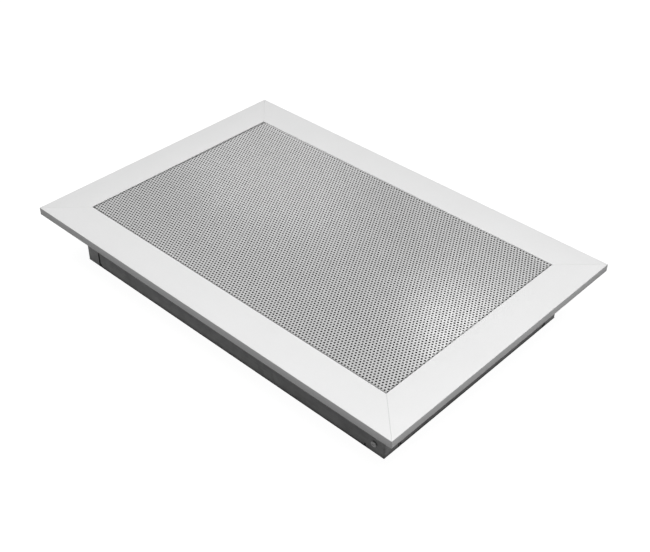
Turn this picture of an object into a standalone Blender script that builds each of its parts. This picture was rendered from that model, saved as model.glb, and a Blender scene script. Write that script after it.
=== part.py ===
"""Air grille: a mitred aluminium face frame with a perforated sheet and a folded sheet steel neck.

The grille lies face up on the lower rim of its neck. The origin is in the middle of that rim's
plane, +X runs along the long side and +Z points out of the grille's face. Lengths are metres.
"""

import math

import bmesh
import bpy
from mathutils import Matrix

# Overall size
FRAME_LENGTH = 0.478
FRAME_WIDTH = 0.325
TOTAL_HEIGHT = 0.0666

# Gap between two pieces that touch, and across each mitre
CLEARANCE = 0.0003
MITRE_GAP = 0.0003

# Section of the frame's profile, measured inwards from its outer edge
BORDER = 0.0385
FACE_THICKNESS = 0.0009
LIP_DEPTH = 0.0089
LIP_THICKNESS = 0.0018
LIP_EDGE_RADIUS = 0.0009
FACE_EDGE_RADIUS = 0.0003
KEY_SLOT_WIDTH = 0.0202
KEY_HOOK_REACH = 0.0022
KEY_HOOK_THICKNESS = 0.0014
RIB_THICKNESS = 0.0015
RIB_DEPTH = 0.0180
KEY_LEG_LENGTH = 0.050
KEY_LEG_CHAMFER = 0.0015

# Neck, folded from sheet steel
NECK_INSET = 0.03025
NECK_SHEET = 0.0010
NECK_CORNER_RADIUS = 0.0015
LAP_CORNER_RADIUS = 0.0012
NECK_RIM_RADIUS = 0.0020
NECK_RIM_WIDTH = 0.0120
TAB_LENGTH = 0.0185
TAB_GROOVE = 0.0006
JOGGLE_RUN = 0.0018
LAP_TAB_LENGTH = 0.0175
RELIEF_LAND = 0.0005
RELIEF_WIDTH = 0.0015
RELIEF_DEPTH = 0.0040

# Perforated sheet: each hole stands for a group of five by five real ones, with the same open area
SHEET_THICKNESS = 0.0010
SHEET_CATCH = 0.0046
HOLE_DIAMETER = 0.0100
HOLE_PITCH = 0.0175
HOLE_SIDES = 6
SHEET_EDGE_LAND = 0.0012

# Angle strips that clamp the sheet from behind. The right one has a tab that shows through the holes
STRIP_THICKNESS = 0.0012
STRIP_DEPTH = 0.0140
STRIP_TAB_REACH = 0.0085
STRIP_TAB_LENGTH = 0.0420
STRIP_TAB_CENTRE = -0.0115
STRIP_TAB_THICKNESS = 0.0010

# Blind rivets
RIVET_RADIUS = 0.0016
RIVET_HEAD_RADIUS = 0.0031
RIVET_HEAD_HEIGHT = 0.0011
RIVET_HEAD_EDGE = 0.0003
RIVET_CROWN_RADIUS = 0.0019
RIVET_CROWN_DROP = 0.0002
RIVET_TAIL_RADIUS = 0.0024
RIVET_TAIL_LENGTH = 0.0022
RIVET_TAIL_FLARE = 0.0006
RIVET_SIDES = 8
DRILL_SIDES = 8
FRAME_RIVET_DEPTH = 0.0125
LONG_SIDE_RIVET_PITCH = 0.140
SHORT_SIDE_RIVET_PITCH = 0.140
CORNER_RIVET_OFFSET = 0.0120
CORNER_RIVET_HEIGHT = 0.0100

ARC_STEPS = 3

# Levels, and steps inwards from the frame's outer edge, that follow from the sizes above
FACE_UNDERSIDE = TOTAL_HEIGHT - FACE_THICKNESS
SHEET_TOP = FACE_UNDERSIDE - CLEARANCE
SHEET_UNDERSIDE = SHEET_TOP - SHEET_THICKNESS
NECK_TOP = FACE_UNDERSIDE - CLEARANCE
RIB_FOOT = TOTAL_HEIGHT - RIB_DEPTH
LAP_TOP = RIB_FOOT - CLEARANCE
LAP_STEP = NECK_SHEET + CLEARANCE
RIB_START = NECK_INSET + NECK_SHEET + CLEARANCE
RIB_END = RIB_START + RIB_THICKNESS
STRIP_START = RIB_END + CLEARANCE
KEY_GUIDE = LIP_THICKNESS + KEY_SLOT_WIDTH
JOGGLE_FOOT = TAB_LENGTH + TAB_GROOVE
RELIEF_START = JOGGLE_FOOT + JOGGLE_RUN + RELIEF_LAND
RIM_START = RELIEF_START + RELIEF_WIDTH

# Each side of the grille: its name, its length along the outer edge, how far its outer edge
# lies from the middle, its turn about Z, and its rivets
SIDES = (
    ("front", FRAME_LENGTH, FRAME_WIDTH / 2, 0.0, 3, LONG_SIDE_RIVET_PITCH),
    ("right", FRAME_WIDTH, FRAME_LENGTH / 2, math.pi / 2, 2, SHORT_SIDE_RIVET_PITCH),
    ("back", FRAME_LENGTH, FRAME_WIDTH / 2, math.pi, 3, LONG_SIDE_RIVET_PITCH),
    ("left", FRAME_WIDTH, FRAME_LENGTH / 2, -math.pi / 2, 2, SHORT_SIDE_RIVET_PITCH),
)

# How each neck wall ends, start then end of its run: its own tab covers the corner, or its
# end is joggled under the neighbour's tab
NECK_ENDS = {
    "front": ("under", "over"),
    "right": ("under", "under"),
    "back": ("over", "under"),
    "left": ("over", "over"),
}


def clear_scene():
    for item in list(bpy.data.objects):
        bpy.data.objects.remove(item, do_unlink=True)


def new_collection(name):
    collection = bpy.data.collections.new(name)
    bpy.context.scene.collection.children.link(collection)
    return collection


def finish(name, colour, roughness, metallic):
    material = bpy.data.materials.new(name)
    material.use_nodes = True
    shader = material.node_tree.nodes["Principled BSDF"]
    shader.inputs["Base Color"].default_value = (*colour, 1.0)
    shader.inputs["Roughness"].default_value = roughness
    shader.inputs["Metallic"].default_value = metallic
    return material


def add_object(name, mesh, collection, material):
    item = bpy.data.objects.new(name, mesh)
    collection.objects.link(item)
    if material:
        mesh.materials.clear()
        mesh.materials.append(material)
    return item


def mesh_from(name, bm):
    bmesh.ops.recalc_face_normals(bm, faces=bm.faces)
    mesh = bpy.data.meshes.new(name)
    bm.to_mesh(mesh)
    bm.free()
    return mesh


def side_matrix(edge_distance, turn):
    """Places a piece drawn along +X with its outer edge on Y = 0 and its inside towards +Y."""
    return Matrix.Rotation(turn, 4, "Z") @ Matrix.Translation((0, -edge_distance, 0))


def corner_arc(centre, radius, start, end, steps=ARC_STEPS):
    """Points of an arc about centre, from angle start to angle end in degrees."""
    points = []
    for step in range(steps + 1):
        angle = math.radians(start + (end - start) * step / steps)
        points.append((centre[0] + radius * math.cos(angle), centre[1] + radius * math.sin(angle)))
    return points


def frame_section():
    """The profile's outline: first value inwards from the outer edge, second the height."""
    top = TOTAL_HEIGHT
    lip_foot = top - LIP_DEPTH
    hook_top = lip_foot + KEY_HOOK_THICKNESS
    under = FACE_UNDERSIDE
    edge = FACE_EDGE_RADIUS
    outline = corner_arc((edge, top - edge), edge, 180, 90, 2)
    outline += corner_arc((BORDER - edge, top - edge), edge, 90, 0, 2)
    outline += [(BORDER, under), (RIB_END, under), (RIB_END, RIB_FOOT), (RIB_START, RIB_FOOT), (RIB_START, under)]
    guide_back = KEY_GUIDE + KEY_HOOK_THICKNESS
    guide_hook = KEY_GUIDE - KEY_HOOK_REACH
    outline += [(guide_back, under), (guide_back, lip_foot), (guide_hook, lip_foot), (guide_hook, hook_top)]
    outline += [(KEY_GUIDE, hook_top), (KEY_GUIDE, under), (LIP_THICKNESS, under), (LIP_THICKNESS, hook_top)]
    lip_hook = LIP_THICKNESS + KEY_HOOK_REACH
    outline += [(lip_hook, hook_top), (lip_hook, lip_foot)]
    outline += corner_arc((LIP_EDGE_RADIUS, lip_foot + LIP_EDGE_RADIUS), LIP_EDGE_RADIUS, 270, 180)
    return outline


def mitred_member(length):
    """The profile run along X, with each end cut back by as much as it lies inside the edge."""
    bm = bmesh.new()
    setback = MITRE_GAP / math.sqrt(2)
    start = []
    for inwards, height in frame_section():
        start.append(bm.verts.new((-(length / 2 - inwards - setback), inwards, height)))
    section = bm.faces.new(start)
    grown = bmesh.ops.extrude_face_region(bm, geom=[section], use_keep_orig=True)
    for item in grown["geom"]:
        if isinstance(item, bmesh.types.BMVert):
            item.co.x = -item.co.x
    return mesh_from("mitred_member", bm)


def filled_outline(name, outline, holes, low, high):
    """A flat outline with holes, filled and given the thickness between two levels."""
    curve = bpy.data.curves.new(name, "CURVE")
    curve.dimensions = "2D"
    curve.fill_mode = "BOTH"
    curve.extrude = (high - low) / 2
    for points in [outline] + holes:
        spline = curve.splines.new("POLY")
        spline.points.add(len(points) - 1)
        for point, (x, y) in zip(spline.points, points):
            point.co = (x, y, 0, 1)
        spline.use_cyclic_u = True
    blank = bpy.data.objects.new(name, curve)
    bpy.context.scene.collection.objects.link(blank)
    depsgraph = bpy.context.evaluated_depsgraph_get()
    mesh = bpy.data.meshes.new_from_object(blank.evaluated_get(depsgraph))
    bpy.data.objects.remove(blank, do_unlink=True)
    bm = bmesh.new()
    bm.from_mesh(mesh)
    bmesh.ops.remove_doubles(bm, verts=bm.verts, dist=0.00001)
    bmesh.ops.translate(bm, verts=bm.verts, vec=(0, 0, (low + high) / 2))
    bpy.data.meshes.remove(mesh)
    return mesh_from(name, bm)


def corner_key():
    """An L of flat bar that slides into the slots of two members, drawn in the front left corner."""
    outer = LIP_THICKNESS + CLEARANCE
    inner = KEY_GUIDE - CLEARANCE
    reach = KEY_LEG_LENGTH
    cut = KEY_LEG_CHAMFER
    outline = [(outer, outer), (reach - cut, outer), (reach, outer + cut), (reach, inner - cut)]
    outline += [(reach - cut, inner), (inner, inner), (inner, reach - cut), (inner - cut, reach)]
    outline += [(outer + cut, reach), (outer, reach - cut)]
    low = TOTAL_HEIGHT - LIP_DEPTH + KEY_HOOK_THICKNESS + CLEARANCE
    return filled_outline("corner_key", outline, [], low, FACE_UNDERSIDE - CLEARANCE)


def hole_centres(half_length, half_width):
    """Staggered rows along X, centred, with every hole inside the given half sizes."""
    row_step = HOLE_PITCH * math.sqrt(3) / 2
    radius = HOLE_DIAMETER / 2
    rows = int((half_width - radius) / row_step)
    centres = []
    for row in range(-rows, rows + 1):
        shift = HOLE_PITCH / 2 if row % 2 else 0.0
        columns = int((half_length - radius - shift) / HOLE_PITCH)
        first = -columns - 1 if shift else -columns
        for column in range(first, columns + 1):
            centres.append((column * HOLE_PITCH + shift, row * row_step))
    return centres


def perforated_sheet():
    half_length = FRAME_LENGTH / 2 - STRIP_START
    half_width = FRAME_WIDTH / 2 - STRIP_START
    outline = [(-half_length, -half_width), (half_length, -half_width)]
    outline += [(half_length, half_width), (-half_length, half_width)]
    holes = []
    for x, y in hole_centres(half_length - SHEET_EDGE_LAND, half_width - SHEET_EDGE_LAND):
        hole = []
        for corner in range(HOLE_SIDES):
            angle = 2 * math.pi * (corner + 0.5) / HOLE_SIDES
            hole.append((x + HOLE_DIAMETER / 2 * math.cos(angle), y + HOLE_DIAMETER / 2 * math.sin(angle)))
        holes.append(hole)
    return filled_outline("perforated_sheet", outline, holes, SHEET_UNDERSIDE, SHEET_TOP)


def push_out_tab(bm, edge, top):
    """Draws a tab out of the edge of a strip's leg, level with the leg's top and a little thinner."""
    start = STRIP_TAB_CENTRE - STRIP_TAB_LENGTH / 2
    end = start + STRIP_TAB_LENGTH
    floor = top - STRIP_TAB_THICKNESS
    planes = [((start, 0, 0), (1, 0, 0)), ((end, 0, 0), (1, 0, 0)), ((0, 0, floor), (0, 0, 1))]
    for point, normal in planes:
        everything = bm.verts[:] + bm.edges[:] + bm.faces[:]
        bmesh.ops.bisect_plane(bm, geom=everything, plane_co=point, plane_no=normal)
    root = []
    for face in bm.faces:
        middle = face.calc_center_median()
        on_edge = abs(face.normal.y) > 0.5 and math.isclose(middle.y, edge, rel_tol=0.0001)
        if on_edge and start < middle.x < end and middle.z > floor:
            root.append(face)
    grown = bmesh.ops.extrude_face_region(bm, geom=root)
    moved = [item for item in grown["geom"] if isinstance(item, bmesh.types.BMVert)]
    bmesh.ops.translate(bm, verts=moved, vec=(0, STRIP_TAB_REACH, 0))
    bmesh.ops.delete(bm, geom=root, context="FACES_ONLY")


def angle_strip(length, with_tab):
    """An angle along X: one leg under the sheet's edge, the other against the frame's rib."""
    top = SHEET_UNDERSIDE - CLEARANCE
    foot = top - STRIP_DEPTH
    back = STRIP_START + STRIP_THICKNESS
    reach = STRIP_START + SHEET_CATCH
    section = [(STRIP_START, top), (reach, top), (reach, top - STRIP_THICKNESS)]
    section += [(back, top - STRIP_THICKNESS), (back, foot), (STRIP_START, foot)]
    bm = bmesh.new()
    start = [bm.verts.new((-length / 2, inwards, height)) for inwards, height in section]
    grown = bmesh.ops.extrude_face_region(bm, geom=[bm.faces.new(start)], use_keep_orig=True)
    moved = [item for item in grown["geom"] if isinstance(item, bmesh.types.BMVert)]
    bmesh.ops.translate(bm, verts=moved, vec=(length, 0, 0))
    if with_tab:
        bm.normal_update()
        push_out_tab(bm, reach, top)
    return mesh_from("angle_strip", bm)


def wall_end(kind):
    """The last stretch of a neck wall's outer line, as (distance from corner, step inwards, in lap).

    Both values are measured from the neck's outer corner, and the list runs towards the corner.
    """
    radius = NECK_CORNER_RADIUS
    if kind == "over":
        arc = corner_arc((radius, radius), radius, 270, 180)
        return [(x, y, False) for x, y in arc] + [(0.0, TAB_LENGTH, False)]
    run = [(JOGGLE_FOOT + JOGGLE_RUN, 0.0, False), (JOGGLE_FOOT, LAP_STEP, True)]
    centre = LAP_STEP + LAP_CORNER_RADIUS
    arc = corner_arc((centre, centre), LAP_CORNER_RADIUS, 270, 180)
    run += [(x, y, True) for x, y in arc]
    return run + [(LAP_STEP, LAP_STEP + LAP_TAB_LENGTH, True)]


def neck_wall(length, ends):
    """A wall of the neck along X, with its outer face on Y = 0, as one folded sheet.

    The sheet's outer surface is a strip of columns. Each column runs from the wall's top down to
    the rim. Between the reliefs the columns go on round the bend into the rim.
    """
    half = length / 2
    start = [(-(half - x), y, lap) for x, y, lap in reversed(wall_end(ends[0]))]
    end = [(half - x, y, lap) for x, y, lap in wall_end(ends[1])]
    relief_end = half - RELIEF_START
    rim_end = half - RIM_START
    middle = [(x, 0.0, False) for x in (-relief_end, -rim_end, rim_end, relief_end)]
    columns = start + middle + end
    first_rim = len(start) + 1
    last_rim = first_rim + 1

    bm = bmesh.new()
    levels = [NECK_TOP, LAP_TOP, RELIEF_DEPTH, NECK_RIM_RADIUS]
    grid = []
    for x, y, lap in columns:
        grid.append([bm.verts.new((x, y, level)) for level in levels] + [bm.verts.new((x, y, 0.0))])
    for index in range(len(columns) - 1):
        in_lap = columns[index][2] or columns[index + 1][2]
        relief = index in (first_rim - 1, last_rim)
        rim = index == first_rim
        for row in range(4):
            above = row == 0
            below = row >= 2
            if (above and in_lap) or (below and relief) or (row == 3 and rim):
                continue
            left, right = grid[index], grid[index + 1]
            bm.faces.new((left[row], left[row + 1], right[row + 1], right[row]))

    bend = corner_arc((NECK_RIM_RADIUS, NECK_RIM_RADIUS), NECK_RIM_RADIUS, 180, 270)[1:]
    bend.append((NECK_RIM_WIDTH, 0.0))
    previous = (grid[first_rim][3], grid[last_rim][3])
    for y, z in bend:
        row = (bm.verts.new((-rim_end, y, z)), bm.verts.new((rim_end, y, z)))
        bm.faces.new((previous[0], row[0], row[1], previous[1]))
        previous = row
    loose = [vert for vert in bm.verts if not vert.link_faces]
    bmesh.ops.delete(bm, geom=loose, context="VERTS")
    bmesh.ops.dissolve_limit(bm, angle_limit=0.001, verts=bm.verts, edges=bm.edges)
    mesh = bpy.data.meshes.new("neck_wall")
    bm.to_mesh(mesh)
    bm.free()
    return mesh


def thicken(item, thickness):
    solid = item.modifiers.new("sheet", "SOLIDIFY")
    solid.thickness = thickness
    solid.offset = -1.0
    solid.use_even_offset = True


def rivet(name, grip, collection, material):
    """A blind rivet along Z, its head's underside just above Z = 0 and its tail past the grip."""
    seat = CLEARANCE
    tail = -grip - CLEARANCE
    crown = seat + RIVET_HEAD_HEIGHT
    profile = [(0.0, crown), (RIVET_CROWN_RADIUS, crown - RIVET_CROWN_DROP)]
    profile += [(RIVET_HEAD_RADIUS, seat + RIVET_HEAD_EDGE), (RIVET_HEAD_RADIUS, seat)]
    profile += [(RIVET_RADIUS, seat), (RIVET_RADIUS, tail), (RIVET_TAIL_RADIUS, tail - RIVET_TAIL_FLARE)]
    profile += [(RIVET_RADIUS, tail - RIVET_TAIL_LENGTH), (0.0, tail - RIVET_TAIL_LENGTH)]
    bm = bmesh.new()
    verts = [bm.verts.new((x, 0, z)) for x, z in profile]
    for upper, lower in zip(verts, verts[1:]):
        bm.edges.new((upper, lower))
    mesh = bpy.data.meshes.new(name)
    bm.to_mesh(mesh)
    bm.free()
    item = add_object(name, mesh, collection, material)
    turn = item.modifiers.new("turn", "SCREW")
    turn.steps = RIVET_SIDES
    turn.render_steps = RIVET_SIDES
    turn.use_merge_vertices = True
    turn.merge_threshold = 0.00001
    return item


def drill(name, places, length, collection):
    """A group of round cutters that share one object. Each place is a matrix along whose Z it lies."""
    bm = bmesh.new()
    for place in places:
        radius = RIVET_RADIUS + CLEARANCE
        bmesh.ops.create_cone(
            bm, cap_ends=True, segments=DRILL_SIDES, radius1=radius, radius2=radius, depth=length, matrix=place
        )
    item = add_object(name, mesh_from(name, bm), collection, None)
    item.hide_render = True
    item.display_type = "WIRE"
    return item


def cut(item, cutter):
    hole = item.modifiers.new("holes", "BOOLEAN")
    hole.operation = "DIFFERENCE"
    hole.solver = "EXACT"
    hole.object = cutter


def main():
    clear_scene()
    parts = new_collection("air_grille")
    cutters = new_collection("cutters")
    painted = finish("painted_frame", (0.80, 0.80, 0.80), 0.42, 0.0)
    sheet_finish = finish("perforated_sheet", (0.62, 0.62, 0.61), 0.36, 0.6)
    galvanised = finish("neck_steel", (0.30, 0.30, 0.30), 0.45, 0.8)
    strip_finish = finish("strip_aluminium", (0.62, 0.62, 0.63), 0.40, 0.9)
    key_finish = finish("corner_key", (0.55, 0.55, 0.56), 0.45, 0.9)
    rivet_finish = finish("rivet", (0.66, 0.66, 0.67), 0.35, 0.9)

    sheet = add_object("perforated_sheet", perforated_sheet(), parts, sheet_finish)
    sheet.data.shade_flat()

    grip = STRIP_START + STRIP_THICKNESS - NECK_INSET
    corner_grip = LAP_STEP + NECK_SHEET
    rivet_level = TOTAL_HEIGHT - FRAME_RIVET_DEPTH
    outwards = Matrix.Rotation(math.pi / 2, 4, "X")
    strip_end = STRIP_START + CLEARANCE + SHEET_CATCH

    walls = {}
    for name, length, edge_distance, turn, count, pitch in SIDES:
        place = side_matrix(edge_distance, turn)
        member = add_object(name + "_frame_member", mitred_member(length), parts, painted)
        member.matrix_world = place

        strip_length = length - 2 * (STRIP_START if name in ("front", "back") else strip_end)
        strip_mesh = angle_strip(strip_length, name == "right")
        strip = add_object(name + "_sheet_strip", strip_mesh, parts, strip_finish)
        strip.matrix_world = place

        wall_length = length - 2 * NECK_INSET
        wall = add_object(name + "_neck_wall", neck_wall(wall_length, NECK_ENDS[name]), parts, galvanised)
        wall.matrix_world = place @ Matrix.Translation((0, NECK_INSET, 0))
        thicken(wall, NECK_SHEET)
        walls[name] = wall

        places = []
        for index in range(count):
            along = (index - (count - 1) / 2) * pitch
            places.append(place @ Matrix.Translation((along, NECK_INSET, rivet_level)) @ outwards)
        side_drill = drill(name + "_frame_drill", places, 4 * grip, cutters)
        for item in (member, strip, wall):
            cut(item, side_drill)
        for index, rivet_place in enumerate(places):
            item = rivet(f"{name}_frame_rivet_{index + 1}", grip, parts, rivet_finish)
            item.matrix_world = rivet_place

    corners = (("front", 1, "right"), ("back", -1, "right"), ("left", 1, "front"), ("left", -1, "back"))
    sides = {side[0]: side for side in SIDES}
    for outer, direction, inner in corners:
        name, length, edge_distance, turn, count, pitch = sides[outer]
        along = direction * (length / 2 - NECK_INSET - CORNER_RIVET_OFFSET)
        spot = Matrix.Translation((along, NECK_INSET, CORNER_RIVET_HEIGHT))
        place = side_matrix(edge_distance, turn) @ spot @ outwards
        corner_drill = drill(f"{outer}_{inner}_corner_drill", [place], 4 * corner_grip, cutters)
        cut(walls[outer], corner_drill)
        cut(walls[inner], corner_drill)
        item = rivet(f"{outer}_{inner}_corner_rivet", corner_grip, parts, rivet_finish)
        item.matrix_world = place

    corner_x = FRAME_LENGTH / 2
    corner_y = FRAME_WIDTH / 2
    quarter = (("front_left", -1, -1, 0), ("front_right", 1, -1, 1), ("back_right", 1, 1, 2), ("back_left", -1, 1, 3))
    for name, x, y, turns in quarter:
        key = add_object(name + "_corner_key", corner_key(), parts, key_finish)
        spot = Matrix.Translation((x * corner_x, y * corner_y, 0))
        key.matrix_world = spot @ Matrix.Rotation(turns * math.pi / 2, 4, "Z")


main()
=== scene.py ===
"""The air grille's looks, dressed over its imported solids.

Lengths are metres in the CAD's own frame: the grille lies face up on its neck's rim, +X runs
along the long side and +Z points out of the face.
"""

import math

import bpy
from mathutils import Matrix, Vector


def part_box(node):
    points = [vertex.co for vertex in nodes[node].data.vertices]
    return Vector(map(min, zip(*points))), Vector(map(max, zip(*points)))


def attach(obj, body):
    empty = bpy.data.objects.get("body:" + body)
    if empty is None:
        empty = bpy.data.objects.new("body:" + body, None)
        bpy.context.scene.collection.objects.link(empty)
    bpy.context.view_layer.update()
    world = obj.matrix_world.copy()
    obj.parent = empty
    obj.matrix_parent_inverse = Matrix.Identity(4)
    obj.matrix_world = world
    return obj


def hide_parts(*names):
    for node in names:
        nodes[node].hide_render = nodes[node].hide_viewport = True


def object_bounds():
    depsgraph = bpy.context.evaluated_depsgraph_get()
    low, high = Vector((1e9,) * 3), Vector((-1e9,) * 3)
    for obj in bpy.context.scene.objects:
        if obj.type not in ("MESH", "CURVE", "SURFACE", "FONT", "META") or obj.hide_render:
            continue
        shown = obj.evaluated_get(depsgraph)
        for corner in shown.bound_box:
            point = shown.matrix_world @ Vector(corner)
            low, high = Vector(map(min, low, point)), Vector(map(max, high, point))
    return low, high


MM = 0.001

# Camera, fitted to the corners of the photo's frame and to its rows of holes. Angles are degrees
CAMERA_PLACE = (0.5983, -0.6329, 0.6882)
CAMERA_AZIMUTH = 42.687
CAMERA_ELEVATION = 37.718
CAMERA_ROLL = 0.737
CAMERA_LENS = 58.957
SENSOR_WIDTH = 36.0

# Frame profile, measured inwards from its outer edge, as in the solids. The borders are those of
# the photo, side by side, within 1 mm of the solids' one value
BORDERS = {"front": 38.6 * MM, "right": 39.0 * MM, "back": 37.8 * MM, "left": 37.5 * MM}
FACE_THICKNESS = 0.9 * MM
LIP_DEPTH = 8.9 * MM
LIP_THICKNESS = 1.8 * MM
LIP_EDGE_RADIUS = 0.9 * MM
FACE_EDGE_RADIUS = 0.35 * MM
KEY_SLOT_WIDTH = 20.2 * MM
KEY_HOOK_REACH = 2.2 * MM
KEY_HOOK_THICKNESS = 1.4 * MM
RIB_THICKNESS = 1.5 * MM
RIB_DEPTH = 18.0 * MM
RIB_START = 31.55 * MM
MITRE_GAP = 0.13 * MM

# Perforation: stock 2 mm holes, about 3.5 mm apart in staggered rows. Rows and columns are the first
# and the last, and the pattern is turned by some degrees
HOLE_DIAMETER = 2.0 * MM
HOLE_STEP = 3.468 * MM
ROW_STEP = 3.047 * MM
FIRST_HOLE = (1.15 * MM, 0.79 * MM)
PATTERN_TURN = 0.136
ROWS = (-42, 41)
COLUMNS = (-59, 58)
PANELS = 4

# The corners of the hexagon round a hole, from its middle, in half steps and third rows
CELL_CORNERS = ((1, -1), (1, 1), (0, 2), (-1, 1), (-1, -1), (0, -2))
CELL_SIDES = len(CELL_CORNERS)
HOLE_SIDES = 2 * CELL_SIDES

# The sheet isn't quite flat. Each swell or dent has a middle, half widths along and across the
# grille, and a height: two swells to the right and the middle, two dents along the front
SHEET_SWELLS = (
    ((99 * MM, -44 * MM), (92 * MM, 150 * MM), 1.15 * MM),
    ((-38 * MM, -7 * MM), (89 * MM, 54 * MM), 0.75 * MM),
    ((80 * MM, -121 * MM), (100 * MM, 56 * MM), -1.20 * MM),
    ((-111 * MM, -98 * MM), (67 * MM, 54 * MM), -0.42 * MM),
)
# Where the frame covers it, the sheet lies just under the face, and lower at the front and left
CLAMPED_LIFT = 0.27 * MM
LOWER_LIFT = -0.20 * MM
CLAMP_EASE = 5.0 * MM

# Blind rivets
RIVET_HEAD_RADIUS = 3.1 * MM
RIVET_HEAD_HEIGHT = 1.1 * MM
RIVET_DOME_RISE = 0.8 * MM
RIVET_DOME_STEPS = 6
RIVET_RIM_HEIGHT = 0.25 * MM
RIVET_RIM_BEVEL = 0.1 * MM
RIVET_SHANK_RADIUS = 1.6 * MM
RIVET_TAIL_RADIUS = 2.4 * MM
RIVET_TAIL_LENGTH = 2.2 * MM
RIVET_TAIL_SWELL = (0.5, 0.85, 1.0, 0.9, 0.55)
MANDREL_RADIUS = 0.85 * MM
MANDREL_WELL_RADIUS = 1.25 * MANDREL_RADIUS
MANDREL_DEPTH = 0.55 * MM
MANDREL_BEVEL = 0.05 * MM
RIVET_END_SHARE = 0.9
RIVET_SIDES = 32

# Painted shade on the sheet along the frame's front and right borders, standing for the shadow of the
# frame's edge: how dark it is, and how far from the border it starts to clear and is gone
PAINTED_EDGE_SHADE = 0.5
RIGHT_PAINTED_SHADE = (1.6 * MM, 2.2 * MM)
FRONT_PAINTED_SHADE = (1.9 * MM, 2.6 * MM)

# The neck has painted light, paler within reach of its corners where the frame's overhang shades it less,
# and painted shade, dark up to a height at its foot
CORNER_PAINTED_LIGHT = 0.08
CORNER_LIGHT_REACH = (2 * MM, 24 * MM)
FOOT_PAINTED_SHADE = 0.45
FOOT_SHADE_HEIGHT = (1.5 * MM, 5.5 * MM)

# Floor: its size, how far it lies below the grille, how light it shows and glows to the camera, and
# how much light it gives back
FLOOR_SIZE = 14.0
FLOOR_DROP = 0.2 * MM
FLOOR_SEEN = 0.16
FLOOR_GLOW = 0.96
FLOOR_BOUNCE = 0.05

# The room's own light on the grille, and the point that the lamps are aimed at
AMBIENT = 0.06
TARGET = Vector((0.0, 0.0, 0.06))

SIDE_TURNS = {"front": 0.0, "right": 90.0, "back": 180.0, "left": -90.0}


def link(item):
    bpy.context.scene.collection.objects.link(item)
    return item


def dress(piece, material_slot, *nodes):
    """Puts a new piece on the only body, in place of its nodes, which it hides."""
    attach(piece, "root")
    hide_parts(*nodes)


def object_from(name, vertices, faces, materials, place=None):
    """A linked mesh object. Its faces use the first material unless they are given another."""
    mesh = bpy.data.meshes.new(name)
    mesh.from_pydata(vertices, [], faces)
    for material in materials:
        mesh.materials.append(material)
    if place:
        mesh.transform(place)
    mesh.update()
    return link(bpy.data.objects.new(name, mesh))


def smooth(item, angle):
    """Shades a piece smooth but for the edges that fold by more than an angle in degrees."""
    item.data.shade_smooth()
    item.data.set_sharp_from_angle(angle=math.radians(angle))


def arc(centre, radius, start, end, steps):
    """Points along a round stretch, from one angle in degrees to another."""
    points = []
    for step in range(steps + 1):
        angle = math.radians(start + (end - start) * step / steps)
        points.append((centre[0] + radius * math.cos(angle), centre[1] + radius * math.sin(angle)))
    return points


class Material:
    """A node material under construction: a Principled shader and short ways to add nodes."""

    def __init__(self, name):
        self.data = bpy.data.materials.new(name)
        self.data.use_nodes = True
        self.tree = self.data.node_tree
        self.shader = self.tree.nodes["Principled BSDF"]
        self.place = self.add("ShaderNodeTexCoord").outputs["Object"]

    def add(self, kind, **settings):
        node = self.tree.nodes.new(kind)
        for name, value in settings.items():
            setattr(node, name, value)
        return node

    def join(self, output, socket):
        self.tree.links.new(output, socket)

    def set(self, name, value):
        self.shader.inputs[name].default_value = value

    def axis(self, name):
        """A point's own X, Y or Z in metres."""
        apart = self.add("ShaderNodeSeparateXYZ")
        self.join(self.place, apart.inputs["Vector"])
        return apart.outputs[name]

    def off_middle(self, name):
        """How far a point lies from the grille's middle along X or Y."""
        return self.maths("ABSOLUTE", self.axis(name), 0.0)

    def stretched(self, scale):
        mapping = self.add("ShaderNodeMapping")
        mapping.inputs["Scale"].default_value = scale
        self.join(self.place, mapping.inputs["Vector"])
        return mapping.outputs["Vector"]

    def noise(self, size, detail=2.0, roughness=0.5, stretch=(1.0, 1.0, 1.0)):
        """Noise whose grains are about size metres across."""
        node = self.add("ShaderNodeTexNoise")
        node.inputs["Scale"].default_value = 1.0 / size
        node.inputs["Detail"].default_value = detail
        node.inputs["Roughness"].default_value = roughness
        self.join(self.stretched(stretch), node.inputs["Vector"])
        return node.outputs["Fac"]

    def cells(self, size, stretch=(1.0, 1.0, 1.0)):
        """Flat crystal cells about size metres across, each with a random grey."""
        node = self.add("ShaderNodeTexVoronoi")
        node.inputs["Scale"].default_value = 1.0 / size
        self.join(self.stretched(stretch), node.inputs["Vector"])
        grey = self.add("ShaderNodeSeparateColor")
        self.join(node.outputs["Color"], grey.inputs["Color"])
        return grey.outputs["Red"]

    def ramp(self, value, low, high, start=0.3, end=0.7):
        """Maps values from start to end, where most of a noise lies, onto low to high."""
        node = self.add("ShaderNodeMapRange")
        node.inputs["From Min"].default_value = start
        node.inputs["From Max"].default_value = end
        node.inputs["To Min"].default_value = low
        node.inputs["To Max"].default_value = high
        self.join(value, node.inputs["Value"])
        return node.outputs["Result"]

    def maths(self, operation, first, second):
        node = self.add("ShaderNodeMath", operation=operation)
        for socket, value in zip(node.inputs, (first, second)):
            if isinstance(value, (int, float)):
                socket.default_value = value
            else:
                self.join(value, socket)
        return node.outputs["Value"]

    def greys(self, value):
        """Drives the base colour with a grey."""
        node = self.add("ShaderNodeCombineColor")
        for name in ("Red", "Green", "Blue"):
            self.join(value, node.inputs[name])
        self.join(node.outputs["Color"], self.shader.inputs["Base Color"])

    def roughness(self, value):
        self.join(value, self.shader.inputs["Roughness"])

    def bump(self, height, distance):
        node = self.add("ShaderNodeBump")
        node.inputs["Distance"].default_value = distance
        node.inputs["Strength"].default_value = 1.0
        self.join(height, node.inputs["Height"])
        self.join(node.outputs["Normal"], self.shader.inputs["Normal"])


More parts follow.
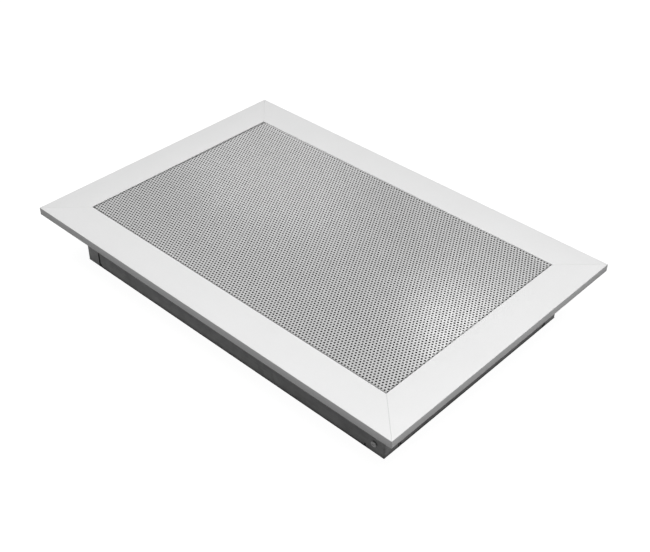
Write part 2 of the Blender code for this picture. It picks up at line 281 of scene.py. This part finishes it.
def powder_coat():
    """White powder coat: a fine orange peel over a hair of unevenness in tone."""
    coat = Material("powder_coat")
    drift = coat.ramp(coat.noise(60 * MM), low=0.785, high=0.800)
    mottle = coat.ramp(coat.noise(1.2 * MM), low=-0.006, high=0.006)
    coat.greys(coat.maths("ADD", drift, mottle))
    coat.roughness(coat.ramp(coat.noise(25 * MM), low=0.44, high=0.52))
    coat.set("IOR", 1.48)
    coat.bump(coat.noise(0.7 * MM, detail=1.0), distance=0.006 * MM)
    return coat.data


def sheet_coat(half_length, half_width):
    """Silver grey satin coat on the perforated sheet, with painted shade along two of the frame's sides."""
    coat = Material("sheet_coat")
    drift = coat.ramp(coat.noise(35 * MM), low=0.53, high=0.55)
    flakes = coat.ramp(coat.noise(0.25 * MM, detail=0.0), low=-0.03, high=0.03)
    from_right = coat.maths("SUBTRACT", half_length - BORDERS["right"], coat.axis("X"))
    from_front = coat.maths("ADD", half_width - BORDERS["front"], coat.axis("Y"))
    # Painted shade: the sheet is darker next to the frame's right and front borders, as if in the frame's
    # shadow
    right_shade_factor = coat.ramp(from_right, PAINTED_EDGE_SHADE, 1.0, *RIGHT_PAINTED_SHADE)
    front_shade_factor = coat.ramp(from_front, PAINTED_EDGE_SHADE, 1.0, *FRONT_PAINTED_SHADE)
    edge_shade_factor = coat.maths("MINIMUM", right_shade_factor, front_shade_factor)
    coat.greys(coat.maths("MULTIPLY", coat.maths("ADD", drift, flakes), edge_shade_factor))
    coat.roughness(coat.ramp(coat.noise(9 * MM), low=0.18, high=0.24))
    coat.set("Metallic", 0.45)
    coat.bump(coat.noise(0.5 * MM, detail=1.0), distance=0.003 * MM)
    return coat.data


def punched_edge():
    """Sheared metal inside the holes, its grey kept nearly black as painted shade in the holes: drawn
    streaks through the sheet's thickness.
    """
    edge = Material("punched_edge")
    streaks = edge.noise(0.16 * MM, roughness=0.6, stretch=(1.0, 1.0, 0.12))
    # The nearly black grey is painted shade inside the holes
    edge.greys(edge.ramp(streaks, low=0.03, high=0.08))
    edge.roughness(edge.ramp(streaks, low=0.45, high=0.62))
    edge.set("Metallic", 0.4)
    edge.set("Specular IOR Level", 0.25)
    edge.bump(streaks, distance=0.01 * MM)
    return edge.data


def zinc_steel(half_length, half_width):
    """Dull zinc coated steel: faint spangle, rolling streaks, stains, painted light near the corners,
    painted shade at the foot.
    """
    steel = Material("zinc_steel")
    spangle = steel.ramp(steel.cells(7 * MM), low=-0.012, high=0.012, start=0.0, end=1.0)
    stains = steel.ramp(steel.noise(40 * MM, detail=3.0), low=0.105, high=0.138)
    rolled = steel.noise(1.5 * MM, roughness=0.6, stretch=(0.03, 0.03, 1.0))
    streaks = steel.ramp(rolled, low=-0.010, high=0.010)
    along = steel.maths("SUBTRACT", half_length, steel.off_middle("X"))
    across = steel.maths("SUBTRACT", half_width, steel.off_middle("Y"))
    from_corner = steel.maths("ADD", along, across)
    blotches = steel.ramp(steel.noise(5 * MM, detail=3.0, roughness=0.6), low=0.6, high=1.3)
    # Painted light: the neck is paler towards its corners, where the frame's overhang shades it less
    corner_light = steel.maths("MULTIPLY", steel.ramp(from_corner, CORNER_PAINTED_LIGHT, 0.0, *CORNER_LIGHT_REACH), blotches)
    tone = steel.maths("ADD", steel.maths("ADD", stains, spangle), steel.maths("ADD", streaks, corner_light))
    # Painted shade: the neck is darker towards its foot
    foot_shade = steel.ramp(steel.axis("Z"), FOOT_PAINTED_SHADE, 1.0, *FOOT_SHADE_HEIGHT)
    steel.greys(steel.maths("MULTIPLY", tone, foot_shade))
    steel.roughness(steel.ramp(steel.noise(12 * MM), low=0.42, high=0.56))
    steel.set("Metallic", 0.2)
    steel.set("Specular IOR Level", 0.3)
    dents = steel.noise(2.5 * MM, detail=3.0, roughness=0.6, stretch=(0.1, 0.1, 1.0))
    steel.bump(dents, distance=0.012 * MM)
    return steel.data


def mill_aluminium(name, low, high, metallic):
    """Rolled aluminium with fine lines and a little tarnish; the less metallic, the chalkier."""
    metal = Material(name)
    lines = metal.noise(0.5 * MM, roughness=0.6, stretch=(0.02, 0.02, 1.0))
    tarnish = metal.ramp(metal.noise(18 * MM, detail=3.0), low, high)
    metal.greys(metal.maths("ADD", tarnish, metal.ramp(lines, low=-0.03, high=0.03)))
    metal.roughness(metal.ramp(lines, low=0.34, high=0.46))
    metal.set("Metallic", metallic)
    metal.bump(lines, distance=0.006 * MM)
    return metal.data


def rivet_metal():
    """Dull, zinc grey blind rivets with tiny pits."""
    metal = Material("rivet_metal")
    metal.greys(metal.ramp(metal.noise(1.2 * MM, detail=3.0), low=0.24, high=0.42))
    metal.roughness(metal.ramp(metal.noise(0.8 * MM), low=0.46, high=0.60))
    metal.set("Metallic", 0.4)
    metal.set("Specular IOR Level", 0.3)
    metal.bump(metal.noise(0.35 * MM), distance=0.02 * MM)
    return metal.data


def frame_section(top, border):
    """The profile's outline: first value inwards from the outer edge, second the height."""
    lip_foot = top - LIP_DEPTH
    hook_top = lip_foot + KEY_HOOK_THICKNESS
    under = top - FACE_THICKNESS
    rib_foot = top - RIB_DEPTH
    rib_end = RIB_START + RIB_THICKNESS
    guide = LIP_THICKNESS + KEY_SLOT_WIDTH
    edge = FACE_EDGE_RADIUS
    outline = arc((edge, top - edge), edge, start=180, end=90, steps=4)
    outline += arc((border - edge, top - edge), edge, start=90, end=0, steps=4)
    outline += [(border, under), (rib_end, under), (rib_end, rib_foot)]
    outline += [(RIB_START, rib_foot), (RIB_START, under)]
    outline += [(guide + KEY_HOOK_THICKNESS, under), (guide + KEY_HOOK_THICKNESS, lip_foot)]
    outline += [(guide - KEY_HOOK_REACH, lip_foot), (guide - KEY_HOOK_REACH, hook_top), (guide, hook_top)]
    outline += [(guide, under), (LIP_THICKNESS, under), (LIP_THICKNESS, hook_top)]
    outline += [(LIP_THICKNESS + KEY_HOOK_REACH, hook_top), (LIP_THICKNESS + KEY_HOOK_REACH, lip_foot)]
    lip_curve = (LIP_EDGE_RADIUS, lip_foot + LIP_EDGE_RADIUS)
    outline += arc(lip_curve, LIP_EDGE_RADIUS, start=270, end=180, steps=6)
    return outline


def frame_members(top, half_length, half_width, material):
    """Four mitred lengths of the profile that almost meet at the corners."""
    setback = MITRE_GAP / math.sqrt(2)
    for side, turn in SIDE_TURNS.items():
        section = frame_section(top, BORDERS[side])
        count = len(section)
        long_side = side in ("front", "back")
        half = half_length if long_side else half_width
        edge_distance = half_width if long_side else half_length
        vertices = [(-(half - inwards - setback), inwards, height) for inwards, height in section]
        vertices += [(-x, inwards, height) for x, inwards, height in vertices]
        faces = [tuple(range(count)), tuple(reversed(range(count, 2 * count)))]
        for index in range(count):
            after = (index + 1) % count
            faces.append((index, index + count, after + count, after))
        place = Matrix.Rotation(math.radians(turn), 4, "Z") @ Matrix.Translation((0, -edge_distance, 0))
        member = object_from(side + "_member_coated", vertices, faces, [material], place)
        smooth(member, angle=30)
        dress(member, "painted_frame", side + "_frame_member")


def eased(share):
    """A soft step from 0 to 1."""
    share = min(max(share, 0.0), 1.0)
    return share * share * (3 - 2 * share)


def sheet_height(x, y, half_length, half_width):
    """How far the sheet stands off its flat plane at a place."""
    height = 0.0
    for middle, half_widths, rise in SHEET_SWELLS:
        along = (x - middle[0]) / half_widths[0]
        across = (y - middle[1]) / half_widths[1]
        height += rise * math.exp(-along * along - across * across)
    clamped = CLAMPED_LIFT
    for from_border in (x + half_length, y + half_width):
        clamped += (LOWER_LIFT - clamped) * eased(1 - from_border / CLAMP_EASE)
    inside = min(half_length - abs(x), half_width - abs(y))
    return clamped + (height - clamped) * eased(inside / CLAMP_EASE)


def row_columns(row):
    """The columns of holes in a row: the rows that are shifted by half a step hold one more."""
    return range(COLUMNS[0] + (1 - row % 2), COLUMNS[1] + 1)


def sheet_cells():
    """The hexagon round each hole, as its middle and corners in half steps and third rows."""
    cells = {}
    for row in range(ROWS[0], ROWS[1] + 1):
        for column in row_columns(row):
            middle = (2 * column + row % 2, 3 * row)
            corners = tuple((middle[0] + x, middle[1] + y) for x, y in CELL_CORNERS)
            cells[column, row] = (middle, corners)
    return cells


def perforated_panel(name, cells, place_of, top, thickness, lift_of, materials):
    """Some of the sheet's hexagons, joined to one closed plate with a round hole in each.

    A corner's index is that of its point on the upper skin. The next one is below it, on the lower.
    """
    vertices = []
    faces = []
    walls = []
    corner_index = {}
    edge_count = {}

    def both_skins(x, y):
        height = top + lift_of(x, y)
        vertices.append((x, y, height))
        vertices.append((x, y, height - thickness))
        return len(vertices) - 2

    for middle, corners in cells:
        ring = []
        for corner in corners:
            if corner not in corner_index:
                corner_index[corner] = both_skins(*place_of(corner))
            ring.append(corner_index[corner])
        for index in range(CELL_SIDES):
            edge = (corners[index], corners[(index + 1) % CELL_SIDES])
            edge_count[edge] = edge_count.get(edge, 0) + 1
        centre = place_of(middle)
        hole = []
        for index in range(HOLE_SIDES):
            angle = 2 * math.pi * index / HOLE_SIDES - math.pi / CELL_SIDES
            x = centre[0] + HOLE_DIAMETER / 2 * math.cos(angle)
            hole.append(both_skins(x, centre[1] + HOLE_DIAMETER / 2 * math.sin(angle)))
        for index in range(CELL_SIDES):
            a, b = ring[index], ring[(index + 1) % CELL_SIDES]
            rim = [hole[(2 * index + step) % HOLE_SIDES] for step in range(3)]
            faces.append((a, b, *reversed(rim)))
            faces.append((*(point + 1 for point in rim), b + 1, a + 1))
        for index in range(HOLE_SIDES):
            a, b = hole[index], hole[(index + 1) % HOLE_SIDES]
            walls.append((a, b, b + 1, a + 1))
    for a, b in edge_count:
        if (b, a) not in edge_count:
            first, second = corner_index[a], corner_index[b]
            faces.append((first, first + 1, second + 1, second))
    panel = object_from(name, vertices, faces + walls, materials)
    indices = [0] * len(faces) + [1] * len(walls)
    panel.data.polygons.foreach_set("material_index", indices)
    smooth(panel, angle=40)
    return panel


def perforated_sheet(half_length, half_width, materials):
    """The sheet as panels side by side, with its outer hexagons drawn out to its straight edges."""
    low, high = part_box("perforated_sheet")
    thickness = high.z - low.z
    cells = sheet_cells()
    uses = {}
    for middle, corners in cells.values():
        for corner in corners:
            uses[corner] = uses.get(corner, 0) + 1
    turn = Matrix.Rotation(math.radians(PATTERN_TURN), 2)
    last_rows = (3 * ROWS[0] - 1, 3 * ROWS[1] + 1)
    row_ends = {}
    for x, y in uses:
        row_ends[y] = max(row_ends.get(y, 0), abs(x))

    def place_of(corner):
        """A corner's place. Those that fewer than three hexagons share go out to the sheet's edges."""
        x, y = corner
        spot = turn @ Vector((x * HOLE_STEP / 2, y * ROW_STEP / 3))
        spot += Vector(FIRST_HOLE)
        if uses.get(corner, 3) < 3:
            end_row = y <= last_rows[0] or y >= last_rows[1]
            if end_row:
                spot.y = high.y if y > 0 else low.y
            if not end_row or abs(x) >= row_ends[y] - 1:
                spot.x = high.x if x > 0 else low.x
        return spot.x, spot.y

    def lift_of(x, y):
        return sheet_height(x, y, half_length - BORDERS["left"], half_width - BORDERS["back"])

    width = (COLUMNS[1] + 1 - COLUMNS[0]) / PANELS
    for index in range(PANELS):
        start = COLUMNS[0] + index * width
        chosen = [cell for (column, row), cell in cells.items() if start <= column < start + width]
        name = f"perforated_sheet_panel_{index + 1}"
        panel = perforated_panel(name, chosen, place_of, high.z, thickness, lift_of, materials)
        dress(panel, "perforated_sheet", "perforated_sheet")


def turned(name, profile, sides, material, place):
    """A solid of revolution about Z from a profile that starts and ends on the axis."""
    vertices = [(0.0, 0.0, profile[0][1]), (0.0, 0.0, profile[-1][1])]
    rings = []
    for radius, height in profile[1:-1]:
        rings.append(len(vertices))
        for side in range(sides):
            angle = 2 * math.pi * side / sides
            vertices.append((radius * math.cos(angle), radius * math.sin(angle), height))
    faces = []
    for side in range(sides):
        after = (side + 1) % sides
        faces.append((0, rings[0] + side, rings[0] + after))
        faces.append((1, rings[-1] + after, rings[-1] + side))
        for upper, lower in zip(rings, rings[1:]):
            faces.append((upper + side, lower + side, lower + after, upper + after))
    return object_from(name, vertices, faces, [material], place)


def rivet_profile(length):
    """A blind rivet from its head's top at zero down to its tail: domed head, spent mandrel."""
    head = RIVET_HEAD_HEIGHT
    profile = [(0.0, -MANDREL_DEPTH), (MANDREL_RADIUS * RIVET_END_SHARE, -MANDREL_DEPTH + MANDREL_BEVEL)]
    profile += [(MANDREL_RADIUS, -MANDREL_BEVEL), (MANDREL_WELL_RADIUS, 0.0)]
    for step in range(1, RIVET_DOME_STEPS):
        angle = step / RIVET_DOME_STEPS * math.pi / 2
        radius = MANDREL_WELL_RADIUS + (RIVET_HEAD_RADIUS - MANDREL_WELL_RADIUS) * math.sin(angle)
        profile.append((radius, -RIVET_DOME_RISE * (1 - math.cos(angle))))
    profile += [(RIVET_HEAD_RADIUS, -head + RIVET_RIM_HEIGHT), (RIVET_HEAD_RADIUS - RIVET_RIM_BEVEL, -head)]
    profile += [(RIVET_SHANK_RADIUS, -head), (RIVET_SHANK_RADIUS, -length + RIVET_TAIL_LENGTH)]
    for index, share in enumerate(RIVET_TAIL_SWELL):
        height = -length + RIVET_TAIL_LENGTH * (1 - (index + 1) / (len(RIVET_TAIL_SWELL) + 1))
        radius = RIVET_SHANK_RADIUS + (RIVET_TAIL_RADIUS - RIVET_SHANK_RADIUS) * share
        profile.append((radius, height))
    profile += [(RIVET_SHANK_RADIUS * RIVET_END_SHARE, -length), (0.0, -length)]
    return profile


def rivets(nodes, material):
    """A turned rivet in place of each of the solids' plain ones, head outwards."""
    for node in sorted(name for name in nodes if "_rivet" in name):
        side = node.split("_")[0]
        turn = Matrix.Rotation(math.radians(SIDE_TURNS[side]), 4, "Z")
        outwards = (turn @ Vector((0, -1, 0, 0))).to_3d()
        low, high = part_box(node)
        middle = (low + high) / 2
        reach = (high - low) / 2
        length = 2 * abs(reach.dot(outwards))
        place = Matrix.Translation(middle + outwards * length / 2)
        place = place @ turn @ Matrix.Rotation(math.pi / 2, 4, "X")
        piece = turned(node + "_turned", rivet_profile(length), RIVET_SIDES, material, place)
        smooth(piece, angle=35)
        dress(piece, "rivet", node)


def refinish(nodes, ending, material):
    """Gives every CAD node whose name has this ending a new material."""
    for name, node in nodes.items():
        if name.endswith(ending):
            node.data.materials.clear()
            node.data.materials.append(material)


def seen_directly(tree):
    """1 for what the camera, a mirror or glass sees, 0 for the light that a surface gives off."""
    paths = tree.nodes.new("ShaderNodeLightPath")
    value = paths.outputs["Is Camera Ray"]
    for name in ("Is Glossy Ray", "Is Transmission Ray"):
        larger = tree.nodes.new("ShaderNodeMath")
        larger.operation = "MAXIMUM"
        tree.links.new(value, larger.inputs[0])
        tree.links.new(paths.outputs[name], larger.inputs[1])
        value = larger.outputs["Value"]
    return value


def stage_floor(half_length, half_width):
    """A white floor that keeps the grille's shadow, gives back little light and is dark in the neck."""
    half = FLOOR_SIZE / 2
    corners = ((-half, -half), (half, -half), (half, half), (-half, half))
    vertices = [(x, y, -FLOOR_DROP) for x, y in corners]
    paper = Material("paper_floor")
    seen = seen_directly(paper.tree)
    mix = paper.add("ShaderNodeMix", data_type="RGBA")
    mix.inputs["A"].default_value = (FLOOR_BOUNCE, FLOOR_BOUNCE, FLOOR_BOUNCE, 1)
    mix.inputs["B"].default_value = (FLOOR_SEEN, FLOOR_SEEN, FLOOR_SEEN, 1)
    paper.join(seen, mix.inputs["Factor"])
    paper.join(mix.outputs["Result"], paper.shader.inputs["Base Color"])
    paper.set("Roughness", 1.0)
    paper.set("Specular IOR Level", 0.0)
    past_ends = paper.maths("GREATER_THAN", paper.off_middle("X"), half_length)
    past_sides = paper.maths("GREATER_THAN", paper.off_middle("Y"), half_width)
    outside = paper.maths("MAXIMUM", past_ends, past_sides)
    glow = paper.maths("MULTIPLY", paper.maths("MULTIPLY", seen, outside), FLOOR_GLOW)
    paper.set("Emission Color", (1, 1, 1, 1))
    paper.join(glow, paper.shader.inputs["Emission Strength"])
    object_from("floor", vertices, [(0, 1, 2, 3)], [paper.data])


def white_world():
    world = bpy.data.worlds.new("studio")
    bpy.context.scene.world = world
    world.use_nodes = True
    tree = world.node_tree
    strength = tree.nodes.new("ShaderNodeMapRange")
    strength.inputs["To Min"].default_value = AMBIENT
    strength.inputs["To Max"].default_value = 1.0
    tree.links.new(seen_directly(tree), strength.inputs["Value"])
    background = tree.nodes["Background"]
    background.inputs["Color"].default_value = (1, 1, 1, 1)
    tree.links.new(strength.outputs["Result"], background.inputs["Strength"])


def aim(item, place, target):
    item.location = place
    item.rotation_euler = (Vector(target) - Vector(place)).to_track_quat("-Z", "Y").to_euler()


def sun_lamp(name, place, level, spread):
    """A broad far lamp. Level 1 shows a white surface that faces it as white."""
    data = bpy.data.lights.new(name, "SUN")
    data.energy = level * math.pi
    data.angle = math.radians(spread)
    aim(link(bpy.data.objects.new(name, data)), place, TARGET)


def soft_box(name, place, target, width, height, glow):
    """A rectangular lamp whose face shines glow times as bright as white paper."""
    data = bpy.data.lights.new(name, "AREA")
    data.shape = "RECTANGLE"
    data.size = width
    data.size_y = height
    data.energy = glow * width * height * math.pi
    lamp = link(bpy.data.objects.new(name, data))
    lamp.visible_camera = False
    aim(lamp, place, target)


def studio_lamps():
    """Broad light from above and the camera's side, and two low boxes that gleam in the sheet."""
    sun_lamp("top_sun", place=(0.05, 0.0, 2.2), level=0.47, spread=50)
    soft_box("near_box", (0.57, -0.34, 1.41), TARGET, width=0.9, height=0.9, glow=4.75)
    soft_box("side_box", (-0.62, 1.27, 1.41), (0.18, 0.0, 0.06), width=0.26, height=0.24, glow=2.1)
    soft_box("back_box", (-1.09, 1.00, 0.93), (-0.11, 0.05, 0.06), width=0.42, height=0.24, glow=0.58)


def photo_camera():
    data = bpy.data.cameras.new("photo_camera")
    data.lens = CAMERA_LENS
    data.sensor_width = SENSOR_WIDTH
    data.sensor_fit = "HORIZONTAL"
    camera = link(bpy.data.objects.new("photo_camera", data))
    turn = Matrix.Rotation(math.radians(CAMERA_AZIMUTH), 4, "Z")
    tilt = Matrix.Rotation(math.radians(90 - CAMERA_ELEVATION), 4, "X")
    roll = Matrix.Rotation(math.radians(CAMERA_ROLL), 4, "Z")
    camera.matrix_world = Matrix.Translation(CAMERA_PLACE) @ turn @ tilt @ roll
    bpy.context.scene.camera = camera


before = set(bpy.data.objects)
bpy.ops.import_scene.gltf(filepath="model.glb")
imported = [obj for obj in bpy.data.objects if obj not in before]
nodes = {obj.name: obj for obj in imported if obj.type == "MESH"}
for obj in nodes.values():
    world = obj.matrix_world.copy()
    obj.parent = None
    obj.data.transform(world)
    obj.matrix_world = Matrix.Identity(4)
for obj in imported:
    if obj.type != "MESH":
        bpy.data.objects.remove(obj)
cad_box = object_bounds()
half_length = cad_box[1].x
half_width = cad_box[1].y

frame_members(cad_box[1].z, half_length, half_width, powder_coat())
perforated_sheet(half_length, half_width, (sheet_coat(half_length, half_width), punched_edge()))
rivets(nodes, rivet_metal())
neck_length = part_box("right_neck_wall")[1].x
neck_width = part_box("back_neck_wall")[1].y
refinish(nodes, "_neck_wall", zinc_steel(neck_length, neck_width))
refinish(nodes, "_sheet_strip", mill_aluminium("strip_aluminium", low=0.86, high=0.92, metallic=0.1))
refinish(nodes, "_corner_key", mill_aluminium("key_aluminium", low=0.42, high=0.50, metallic=0.9))

stage_floor(neck_length, neck_width)
white_world()
studio_lamps()
photo_camera()
bpy.context.scene.view_settings.view_transform = "Standard"
